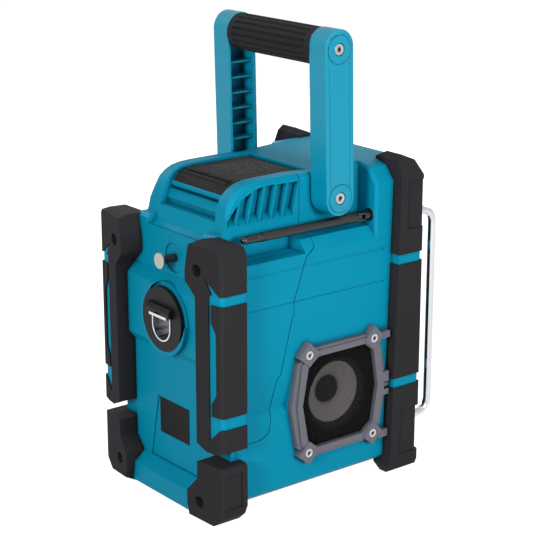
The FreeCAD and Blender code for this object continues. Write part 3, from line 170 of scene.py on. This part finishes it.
def moulded(name, colour, rough, grain=900.0, depth=0.00012, stain=0.06, edge_highlight=0.16,
            metallic=0.0, shine=0.16):
    material = bpy.data.materials.new(name)
    material.use_nodes = True
    tree = material.node_tree
    shader = tree.nodes["Principled BSDF"]
    shader.inputs["Metallic"].default_value = metallic
    shader.inputs["Specular IOR Level"].default_value = shine
    place = tree.nodes.new("ShaderNodeTexCoord")

    def noise(scale, detail):
        node = tree.nodes.new("ShaderNodeTexNoise")
        node.inputs["Scale"].default_value = scale
        node.inputs["Detail"].default_value = detail
        tree.links.new(place.outputs["Object"], node.inputs["Vector"])
        return node.outputs["Fac"]

    slow, fine = noise(STAIN_SCALE, STAIN_DETAIL), noise(grain, GRAIN_DETAIL)
    dark = [c * (1 - stain) for c in colour]
    light = [min(1.0, c * (1 + stain)) for c in colour]
    stained = blended(tree, dark, light, slow)

    bevel = tree.nodes.new("ShaderNodeBevel")
    bevel.samples = 6
    bevel.inputs["Radius"].default_value = EDGE_RADIUS
    shape = tree.nodes.new("ShaderNodeNewGeometry")
    match = tree.nodes.new("ShaderNodeVectorMath")
    match.operation = "DOT_PRODUCT"
    tree.links.new(bevel.outputs["Normal"], match.inputs[0])
    tree.links.new(shape.outputs["Normal"], match.inputs[1])
    # A lighter colour along the edges that the Bevel node finds: a painted highlight.
    edge = ranged(tree, match.outputs["Value"], (1.0, EDGE_TURN), (0.0, edge_highlight))
    pale = [min(1.0, c * HIGHLIGHT_GAIN + HIGHLIGHT_LIFT) for c in colour]
    highlighted = blended(tree, stained, pale, edge)

    # The Ambient Occlusion node darkens grooves, seams and recesses: painted shade.
    hollow = tree.nodes.new("ShaderNodeAmbientOcclusion")
    hollow.samples = 8
    hollow.inputs["Distance"].default_value = SHADE_REACH
    unshaded = ranged(tree, hollow.outputs["AO"], SHADE_OPEN, (0.0, 1.0))
    painted_shade = [c * SHADE_TONE for c in colour]
    tree.links.new(blended(tree, painted_shade, highlighted, unshaded), shader.inputs["Base Color"])

    gloss = (max(SMOOTHEST, rough - GLOSS_DOWN), min(1.0, rough + GLOSS_UP))
    tree.links.new(ranged(tree, slow, (0.0, 1.0), gloss), shader.inputs["Roughness"])
    bump = tree.nodes.new("ShaderNodeBump")
    bump.inputs["Distance"].default_value = depth
    bump.inputs["Strength"].default_value = BUMP_STRENGTH
    tree.links.new(fine, bump.inputs["Height"])
    tree.links.new(bevel.outputs["Normal"], bump.inputs["Normal"])
    tree.links.new(bump.outputs["Normal"], shader.inputs["Normal"])
    return material


# %% All moulded, rubber and metal finishes
finishes = {
    "shell": moulded("teal_shell", (0.0, 0.245, 0.385), 0.5, shine=0.09),
    # The handle's teal is lighter than the shell's: a painted highlight for the lit outer faces
    # of the arms.
    "handle": moulded("teal_handle_lit_copy", (0.0, 0.275, 0.42), 0.38, depth=0.00006, shine=0.35),
    "rubber": moulded("bumper_rubber", (0.024, 0.023, 0.025), 0.74, grain=1400, depth=0.0001,
                      stain=0.12, edge_highlight=0.3, shine=0.06),
    "dots": moulded("pad_dots", (0.02, 0.02, 0.022), 0.5, grain=1400, depth=0.00003,
                    shine=0.25),
    "grip": moulded("grip_rubber", (0.016, 0.016, 0.018), 0.66, grain=1600, depth=0.0001,
                    shine=0.08),
    "grey": moulded("grille_grey", (0.125, 0.125, 0.15), 0.48, depth=0.00006, shine=0.3),
    "mesh": moulded("sheet_black", (0.014, 0.014, 0.015), 0.45, metallic=0.4),
    "felt": moulded("black_felt", (0.006, 0.006, 0.007), 0.95, grain=2600, depth=0.0002,
                    edge_highlight=0.0, shine=0.0),
    "satin_black": moulded("satin_black", (0.010, 0.010, 0.012), 0.45, shine=0.12),
    "tube_black": moulded("tube_black", (0.012, 0.012, 0.013), 0.38, depth=0.00002, shine=0.4),
    "gloss_black": moulded("gloss_black", (0.006, 0.006, 0.007), 0.13, depth=0.000004,
                           shine=0.5, edge_highlight=0.05),
    "chrome": moulded("polished_chrome", (0.56, 0.56, 0.58), 0.08, depth=0.000004,
                      metallic=1.0, stain=0.03, edge_highlight=0.0),
    "smoked": moulded("smoked_chrome", (0.06, 0.06, 0.065), 0.15, depth=0.000004,
                      metallic=1.0, edge_highlight=0.0),
    "zinc": moulded("bright_zinc", (0.46, 0.46, 0.48), 0.3, depth=0.00002, metallic=1.0,
                    edge_highlight=0.1),
    "nickel": moulded("worn_nickel", (0.40, 0.39, 0.36), 0.34, grain=600, depth=0.00004,
                      metallic=1.0, stain=0.25),
    "drawn": moulded("drawn_chrome", (0.56, 0.56, 0.58), 0.22, depth=0.00001, metallic=1.0,
                     stain=0.03, edge_highlight=0.0),
    "aluminium": moulded("plain_aluminium", (0.5, 0.5, 0.52), 0.4, metallic=1.0),
    "steel": moulded("stamped_steel", (0.06, 0.06, 0.065), 0.5, metallic=0.7),
    "label": moulded("label_film", (0.008, 0.008, 0.009), 0.4, depth=0.00002, shine=0.06),
    "board": moulded("board_green", (0.01, 0.09, 0.03), 0.45),
    "screen": moulded("screen_grey", (0.13, 0.16, 0.11), 0.3, depth=0.00001),
    "key": moulded("key_grey", (0.05, 0.05, 0.055), 0.5),
}
print("finishes", len(finishes))

# %% A clear window
window = bpy.data.materials.new("clear_window")
window.use_nodes = True
glass = window.node_tree.nodes["Principled BSDF"]
glass.inputs["Base Color"].default_value = (0.75, 0.8, 0.8, 1)
glass.inputs["Roughness"].default_value = 0.06
glass.inputs["Transmission Weight"].default_value = 0.9
finishes["window"] = window
print("added", window.name)

# %% [markdown]
# ## Pressed paper
# A loudspeaker's cone is pale fibre between a dark cap in the middle and a dark rubber edge.
# The distance from the speaker's own axis picks among the three. The two speakers stand back
# to back on one axis, so a single finish serves both.

# %% Rings of the speaker cone
CAP_EDGE, PAPER_EDGE, RING_BLUR = 0.0142, 0.0315, 0.0004
PAPER, CONE_BLACK = (0.33, 0.31, 0.30), (0.012, 0.012, 0.013)


def paper(name):
    lows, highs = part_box("speaker_cone_left")
    material = moulded(name, PAPER, 0.85, grain=2200, depth=0.0002, edge_highlight=0.0)
    tree = material.node_tree
    shader = tree.nodes["Principled BSDF"]
    place = tree.nodes.new("ShaderNodeTexCoord")
    flat = tree.nodes.new("ShaderNodeMapping")
    flat.inputs["Location"].default_value = (
        0, -(lows[1] + highs[1]) / 2, -(lows[2] + highs[2]) / 2)
    flat.inputs["Scale"].default_value = (0, 1, 1)
    reach = tree.nodes.new("ShaderNodeVectorMath")
    reach.operation = "LENGTH"
    tree.links.new(place.outputs["Object"], flat.inputs["Vector"])
    tree.links.new(flat.outputs["Vector"], reach.inputs[0])
    colour = shader.inputs["Base Color"].links[0].from_socket
    for ring, black_share in ((CAP_EDGE, (1.0, 0.0)), (PAPER_EDGE, (0.0, 1.0))):
        step = ranged(tree, reach.outputs["Value"], (ring - RING_BLUR, ring + RING_BLUR),
                      black_share)
        colour = blended(tree, colour, CONE_BLACK, step)
    tree.links.new(colour, shader.inputs["Base Color"])
    return material


finishes["cone"] = paper("cone_paper")
print("cone rings in mm", 1000 * CAP_EDGE, 1000 * PAPER_EDGE)

# %% [markdown]
# ## Softened edges
# The solids have knife edges, and no moulding or casting has those: the tool is cut with a
# round mill. A copy of each solid is merged into one skin, its flat faces are joined, and a
# narrow bevel goes along the sharp edges. Thin sheets and bent rods do without. Weighted
# normals keep the large faces flat next to the rounds. The copy then stands for its solid.

# %% Copy a solid and round its edges
MERGE, FLAT = 0.00001, math.radians(0.6)
SHARP, SKIN_SMOOTH, BEVEL_STEPS = math.radians(28), math.radians(36), 2
body_of = {name: body for body, names in frame["record"]["behaviour"]["bodies"].items()
           for name in names}


def copy_of(name):
    """A free copy of a solid, as one skin with its flat faces joined."""
    piece = nodes[name].copy()
    piece.data = nodes[name].data.copy()
    piece.parent = None
    piece.hide_render = piece.hide_viewport = False
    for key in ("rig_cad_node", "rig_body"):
        if key in piece:
            del piece[key]
    bpy.context.scene.collection.objects.link(piece)
    only(piece)
    bpy.ops.object.mode_set(mode="EDIT")
    bpy.ops.mesh.select_all(action="SELECT")
    bpy.ops.mesh.remove_doubles(threshold=MERGE)
    bpy.ops.mesh.dissolve_limited(angle_limit=FLAT)
    bpy.ops.object.mode_set(mode="OBJECT")
    return piece


def dressed(name, finish, width):
    """The skin that stands for a solid. A width of zero leaves its edges as they are."""
    piece = copy_of(name)
    piece.name = name + "_skin"
    if width:
        bevel = piece.modifiers.new("edges", "BEVEL")
        bevel.width = width
        bevel.segments = BEVEL_STEPS
        bevel.limit_method = "ANGLE"
        bevel.angle_limit = SHARP
        bevel.use_clamp_overlap = True
        apply_all(piece)
    only(piece)
    bpy.ops.object.shade_smooth_by_angle(angle=SKIN_SMOOTH)
    flats = piece.modifiers.new("flats", "WEIGHTED_NORMAL")
    flats.keep_sharp = True
    apply_all(piece)
    piece.data.materials.clear()
    piece.data.materials.append(finishes[finish])
    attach(piece, body_of[name])
    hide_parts(name)
    return piece


# %% Dress every solid
looks = {
    "shell": ["rear_shell", "front_shell", "charger_lid"],
    "handle": ["handle_arm_left", "handle_arm_right"],
    "rubber": ["rear_bumper_left", "rear_bumper_right", "rear_boot_left", "rear_boot_right",
               "front_bumper_left", "front_bumper_right", "lid_pad", "port_cover"],
    "grip": ["handle_grip"],
    "grey": ["grille_frame_left", "grille_frame_right"],
    "cone": ["speaker_cone_left", "speaker_cone_right"],
    "satin_black": ["opener_disc", "charger_cradle", "charger_terminals", "control_panel",
                    "port_block", "cooling_fan", "pivot_washers"],
    "tube_black": ["aerial_tube"],
    "gloss_black": ["aerial_mount", "aerial_knuckle", "aerial_tip"],
    "chrome": ["guard_bar_left", "guard_bar_right"],
    "smoked": ["aerial_middle"],
    "zinc": ["bumper_screws", "grille_screws", "pivot_screws", "grip_screws", "lid_hinge_pin"],
    "nickel": ["cap_magnet"],
    "drawn": ["opener_cup"],
    "aluminium": ["grip_tube", "power_supply"],
    # The magnet's post takes the dark steel finish so that it reads as the shade behind the cap
    # magnet's disc: painted shade.
    "steel": ["magnet_post", "speaker_basket_left", "speaker_basket_right",
              "speaker_magnet_left", "speaker_magnet_right"],
    "label": ["rating_plate"],
    "board": ["main_board"],
    "screen": ["display_module"],
    "key": ["tuning_knob", "power_button"] + [f"preset_button_{n}" for n in range(1, 6)],
    "window": ["display_window"],
}
# Bevel widths by finish or by node. A node's own width goes before its finish's.
widths = {"rubber": 0.0016, "shell": 0.0009, "handle": 0.0014, "grip": 0.0007, "grey": 0.0008,
          "zinc": 0.0003, "key": 0.0005, "label": 0.0001, "window": 0.0003, "board": 0.0,
          "guard_bar_left": 0.0, "guard_bar_right": 0.0, "aerial_middle": 0.0}
OTHER_WIDTH = 0.0004
skins = {}
for finish, names in looks.items():
    for name in names:
        width = widths.get(name, widths.get(finish, OTHER_WIDTH))
        skins[name] = dressed(name, finish, width)
print("skins", len(skins), "faces", sum(len(s.data.polygons) for s in skins.values()))

# %% [markdown]
# ## Grooves on the arms
# A fine groove runs round both bosses of an arm, and along its outer face between them. Thin
# cutters lie half in that face, and Booleans take them out of the skin.

# %% Cut the grooves
GROOVE, GROOVE_RING, GROOVE_SIDE, BOSS_RISE = 0.0005, 0.0138, 0.0122, 0.0006


def grooves(name):
    """Groove an arm, and count its faces."""
    arm = skins[name]
    lows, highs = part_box(name)
    face = highs[0] - BOSS_RISE if lows[0] > 0 else lows[0] + BOSS_RISE
    ends = []
    for screws in ("pivot_screws", "grip_screws"):
        low, high = (Vector(corner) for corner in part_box(screws))
        ends.append(Vector((face, (low.y + high.y) / 2, (low.z + high.z) / 2)))
        carve(arm, added(bpy.ops.mesh.primitive_torus_add, major_radius=GROOVE_RING,
                         minor_radius=GROOVE, major_segments=56, minor_segments=6,
                         location=ends[-1], rotation=(0, math.radians(90), 0)))
    along = ends[1] - ends[0]
    length = along.length - 2 * math.sqrt(GROOVE_RING ** 2 - GROOVE_SIDE ** 2)
    across = Vector((0, along.z, -along.y)).normalized() * GROOVE_SIDE
    for side in (-1, 1):
        carve(arm, added(bpy.ops.mesh.primitive_cylinder_add, vertices=8, radius=GROOVE,
                         depth=length, location=(ends[0] + ends[1]) / 2 + side * across,
                         rotation=along.to_track_quat("Z", "X").to_euler()))
    return len(arm.data.polygons)


print("arm faces", [grooves(name) for name in ("handle_arm_left", "handle_arm_right")])

# %% [markdown]
# ## Pieces made by hand
# A piece modelled here rides with the solid that it stands for.

# %% Finish a made piece
MADE_SMOOTH = math.radians(35)


def made(piece, name, finish, stands_for):
    piece.name = name
    settle(piece)
    bpy.ops.object.shade_smooth_by_angle(angle=MADE_SMOOTH)
    piece.data.materials.clear()
    piece.data.materials.append(finishes[finish])
    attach(piece, body_of[stands_for])
    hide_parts(stands_for)
    return piece


# %% [markdown]
# ## The perforated sheets
# Each grille has a sheet of small square holes that stand on their corners. A grid of quads is
# turned by 45 degrees, trimmed to the outline of the solid, and the Wireframe modifier leaves
# a strand along every edge of it.

# %% Sheet behind each grille
STRAND, PITCH, SHEET_RIM = 0.00062, 0.0021, 0.0006
GRID_REACH = 1.5


def sheet(name):
    lows, highs = (Vector(corner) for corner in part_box(name))
    rim = [Vector(spot) for spot in sorted({(round(v.co.y, 5), round(v.co.z, 5))
                                            for v in nodes[name].data.vertices})]
    hull = [rim[i] for i in convex_hull_2d(rim)]
    reach = GRID_REACH * max(highs.y - lows.y, highs.z - lows.z)
    cells = round(reach / PITCH)
    piece = added(bpy.ops.mesh.primitive_grid_add, x_subdivisions=cells, y_subdivisions=cells,
                  size=reach, rotation=(0, 0, math.radians(45)))
    settle(piece)
    piece.rotation_euler = (0, math.radians(90), 0)
    piece.location = (lows + highs) / 2
    settle(piece)
    grid = bmesh.new()
    grid.from_mesh(piece.data)
    outside = []
    for face in grid.faces:
        spot = face.calc_center_median().yz
        sides = [(b - a).cross(spot - a) / (b - a).length
                 for a, b in zip(hull, hull[1:] + hull[:1])]
        if min(sides) < SHEET_RIM:
            outside.append(face)
    bmesh.ops.delete(grid, geom=outside, context="FACES")
    grid.to_mesh(piece.data)
    grid.free()
    strands = piece.modifiers.new("strands", "WIREFRAME")
    strands.thickness = STRAND
    strands.use_even_offset = False
    apply_all(piece)
    return made(piece, name + "_sheet", "mesh", name)


sheets = [sheet("grille_mesh_left"), sheet("grille_mesh_right")]
print("strands", [len(piece.data.polygons) for piece in sheets])

# %% [markdown]
# Behind each sheet lies black felt with a round hole for the cone. It hides the corners of the
# teal wall, and it is cut from the outline of the sheet's own solid.

# %% Felt behind the sheets
FELT_HOLE, FELT_BACK, PUNCH_DEPTH = 0.0375, 0.0018, 0.02


def felt(name):
    lows, highs = (Vector(corner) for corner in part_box(name))
    piece = copy_of(name)
    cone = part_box(name.replace("grille_mesh", "speaker_cone"))
    centre = ((lows.x + highs.x) / 2, (cone[0][1] + cone[1][1]) / 2,
              (cone[0][2] + cone[1][2]) / 2)
    carve(piece, added(bpy.ops.mesh.primitive_cylinder_add, vertices=64, radius=FELT_HOLE,
                       depth=PUNCH_DEPTH, rotation=(0, math.radians(90), 0), location=centre))
    piece.location.x = -FELT_BACK if lows.x > 0 else FELT_BACK
    return made(piece, name + "_felt", "felt", name)


felts = [felt("grille_mesh_left"), felt("grille_mesh_right")]
print("felts", [len(piece.data.polygons) for piece in felts])

# %% [markdown]
# ## Dots on the pad
# The pad on the lid has rows of low dots that keep small things from sliding off. One dot is
# copied to every place, at the height of the pad under it.

# %% Rows of dots
DOT, DOT_FLATTEN, ROWS, COLUMNS = 0.0012, 0.7, 12, 12
ROW_STEP, COLUMN_STEP, FIRST_ROW = 0.0042, 0.0042, 0.004
ABOVE_PAD = 0.4


def dots():
    pad = skins["lid_pad"]
    piece = added(bpy.ops.mesh.primitive_uv_sphere_add, segments=8, ring_count=4, radius=DOT)
    many = bmesh.new()
    for row in range(ROWS):
        for column in range(COLUMNS):
            x = (column - (COLUMNS - 1) / 2 + 0.5 * (row % 2) - 0.25) * COLUMN_STEP
            y = FIRST_ROW + row * ROW_STEP
            spot = pad.ray_cast(Vector((x, y, ABOVE_PAD)), Vector((0, 0, -1)))[1]
            start = len(many.verts)
            many.from_mesh(piece.data)
            many.verts.ensure_lookup_table()
            for vertex in many.verts[start:]:
                vertex.co.z *= DOT_FLATTEN
                vertex.co += spot
    many.to_mesh(piece.data)
    many.free()
    return made(piece, "pad_dots", "dots", "lid_pad")


pad_dots = dots()
print("dots", ROWS * COLUMNS, "faces", len(pad_dots.data.polygons))

# %% [markdown]
# ## Screw sockets
# The solids have round sockets. A driver needs six flats, so each socket gets a liner with a
# hexagonal hole, cut by a Boolean.

# %% Liners with six flats
LINER_DEPTH, LINER_SINK = 0.0011, 0.0003


def liner(centre, out, radius, across):
    """A ring with a hexagonal hole whose outer face is at centre, looking along out."""
    turn = out.to_track_quat("Z", "Y").to_euler()
    middle = centre - out * LINER_DEPTH / 2
    cylinder = bpy.ops.mesh.primitive_cylinder_add
    ring = added(cylinder, vertices=24, radius=radius, depth=LINER_DEPTH, location=middle,
                 rotation=turn)
    carve(ring, added(cylinder, vertices=6, radius=across / math.sqrt(3),
                      depth=LINER_DEPTH * 3, location=middle, rotation=turn))
    settle(ring)
    return ring


def low_corner(points):
    return tuple(map(min, zip(*points)))


def shells_of(name):
    """The separate screws of a node, as lists of points, in order of their low corners."""
    work = bmesh.new()
    work.from_mesh(nodes[name].data)
    bmesh.ops.remove_doubles(work, verts=work.verts, dist=MERGE)
    left, groups = set(work.verts), []
    while left:
        stack, group = [left.pop()], []
        while stack:
            vertex = stack.pop()
            group.append(vertex.co.copy())
            for edge in vertex.link_edges:
                other = edge.other_vert(vertex)
                if other in left:
                    left.remove(other)
                    stack.append(other)
        groups.append(group)
    work.free()
    return sorted(groups, key=low_corner)


def liners(name, axis, radius, across):
    """Liners in all screws of a node. Screws along X look outwards, those along Y to the back."""
    rings = []
    for group in shells_of(name):
        lows = Vector(low_corner(group))
        highs = Vector(map(max, zip(*group)))
        centre = (lows + highs) / 2
        if axis == "x":
            out = Vector((1 if centre.x > 0 else -1, 0, 0))
            centre.x = highs.x if centre.x > 0 else lows.x
        else:
            out = Vector((0, 1, 0))
            centre.y = highs.y
        rings.append(liner(centre - out * LINER_SINK, out, radius, across))
    return made(joined(rings), name + "_sockets", "zinc", name)


sockets = [liners("grille_screws", "x", 0.0024, 0.0034),
           liners("bumper_screws", "y", 0.0022, 0.0032),
           liners("pivot_screws", "x", 0.0024, 0.004),
           liners("grip_screws", "x", 0.0024, 0.004)]
print("socket pieces", len(sockets))

# %% [markdown]
# ## Ribs of the knob
# A dial that gloves can turn has ribs all round, here a loop of small bars on its rim.

# %% Ribs round the tuning knob
RIB_COUNT, RIB_SIZE, RIB_EDGE = 36, (0.0018, 0.0085, 0.0013), 0.0004
RIB_SINK, RIB_BACK = 0.0009, 0.006


def knob_ribs():
    lows, highs = (Vector(corner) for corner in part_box("tuning_knob"))
    middle = (lows + highs) / 2
    radius = (highs.x - lows.x) / 2 - RIB_SINK
    bars = []
    for number in range(RIB_COUNT):
        angle = math.tau * number / RIB_COUNT
        spot = middle + Vector((math.cos(angle), 0, math.sin(angle))) * radius
        spot.y = lows.y + RIB_BACK
        bar = added(bpy.ops.mesh.primitive_cube_add, size=1, location=spot,
                    rotation=(0, -angle, 0), scale=RIB_SIZE)
        edge = bar.modifiers.new("edge", "BEVEL")
        edge.width = RIB_EDGE
        settle(bar)
        apply_all(bar)
        bars.append(bar)
    return made(joined(bars), "knob_ribs", "key", "tuning_knob")


ribs = knob_ribs()
print("ribs", RIB_COUNT, "faces", len(ribs.data.polygons))

# %% [markdown]
# ## Floor, light and camera
# The radio stands on a plain pale floor between soft lamps, one for each side of it and a weak
# one above, as on a studio table. The camera looks down a little at the corner between the
# opener's side and the aerial's.

# %% Floor
FLOOR_SIZE, FLOOR_DROP, FLOOR_GREY, FLOOR_GLOW = 8, 0.0003, 0.4, 0.97


def shown_rays(tree):
    """1 for what the camera sees directly, in a mirror or through glass."""
    rays = tree.nodes.new("ShaderNodeLightPath")
    total = rays.outputs["Is Camera Ray"]
    for name in ("Is Glossy Ray", "Is Transmission Ray"):
        larger = tree.nodes.new("ShaderNodeMath")
        larger.operation = "MAXIMUM"
        tree.links.new(total, larger.inputs[0])
        tree.links.new(rays.outputs[name], larger.inputs[1])
        total = larger.outputs[0]
    return total


floor = added(bpy.ops.mesh.primitive_plane_add, size=FLOOR_SIZE, location=(0, 0, -FLOOR_DROP))
floor.name = "floor"
pale = bpy.data.materials.new("pale_floor")
pale.use_nodes = True
tree = pale.node_tree
tree.nodes.clear()
ends = tree.nodes.new("ShaderNodeOutputMaterial")
matt = tree.nodes.new("ShaderNodeBsdfDiffuse")
matt.inputs["Color"].default_value = (FLOOR_GREY, FLOOR_GREY, FLOOR_GREY, 1)
glow = tree.nodes.new("ShaderNodeEmission")
glow.inputs["Strength"].default_value = FLOOR_GLOW
both = tree.nodes.new("ShaderNodeAddShader")
pick = tree.nodes.new("ShaderNodeMixShader")
tree.links.new(matt.outputs[0], both.inputs[0])
tree.links.new(glow.outputs[0], both.inputs[1])
tree.links.new(shown_rays(tree), pick.inputs[0])
tree.links.new(matt.outputs[0], pick.inputs[1])
tree.links.new(both.outputs[0], pick.inputs[2])
tree.links.new(pick.outputs[0], ends.inputs[0])
floor.data.materials.append(pale)
print("staged", floor.name)

# %% World and lamps
WORLD_LIGHT, WORLD_SEEN, AIM = 0.17, 1.0, Vector((0, 0, 0.2))
world = bpy.data.worlds.new("studio")
bpy.context.scene.world = world
world.use_nodes = True
tree = world.node_tree
back = tree.nodes["Background"]
back.inputs["Color"].default_value = (1, 1, 1, 1)
level = tree.nodes.new("ShaderNodeMix")
level.inputs["A"].default_value = WORLD_LIGHT
level.inputs["B"].default_value = WORLD_SEEN
tree.links.new(shown_rays(tree), level.inputs["Factor"])
tree.links.new(level.outputs["Result"], back.inputs["Strength"])


def lamp(name, place, size, power):
    """A round lamp that looks at the radio, with its power in watts."""
    data = bpy.data.lights.new(name, "AREA")
    data.shape = "DISK"
    data.size = size
    data.energy = power
    light = bpy.data.objects.new(name, data)
    bpy.context.scene.collection.objects.link(light)
    light.location = place
    light.rotation_euler = (AIM - Vector(place)).to_track_quat("-Z", "Y").to_euler()


lamp("key", (-0.7, 1.7, 0.75), 0.5, 23)
lamp("side", (-1.8, 0.1, 0.7), 0.5, 22)
lamp("top", (-0.2, 0.2, 1.9), 0.7, 2.5)
lamp("front", (0.7, -1.7, 0.8), 0.6, 20)
lamp("far_side", (1.8, -0.1, 0.7), 0.6, 16)
print("lamps", len(bpy.data.lights))

# %% Camera
CAMERA_PLACE, CAMERA_LOOK = (-1.2567, 0.9922, 0.6954), (0.75259, -0.59329, -0.28569)
camera = bpy.data.objects.new("camera", bpy.data.cameras.new("camera"))
bpy.context.scene.collection.objects.link(camera)
camera.location = CAMERA_PLACE
camera.rotation_euler = Vector(CAMERA_LOOK).to_track_quat("-Z", "Y").to_euler()
camera.data.sensor_width = 36
camera.data.lens = 110.8
camera.data.clip_end = 20
bpy.context.scene.camera = camera
bpy.context.scene.view_settings.view_transform = "Standard"
print("lens in mm", round(camera.data.lens, 1))
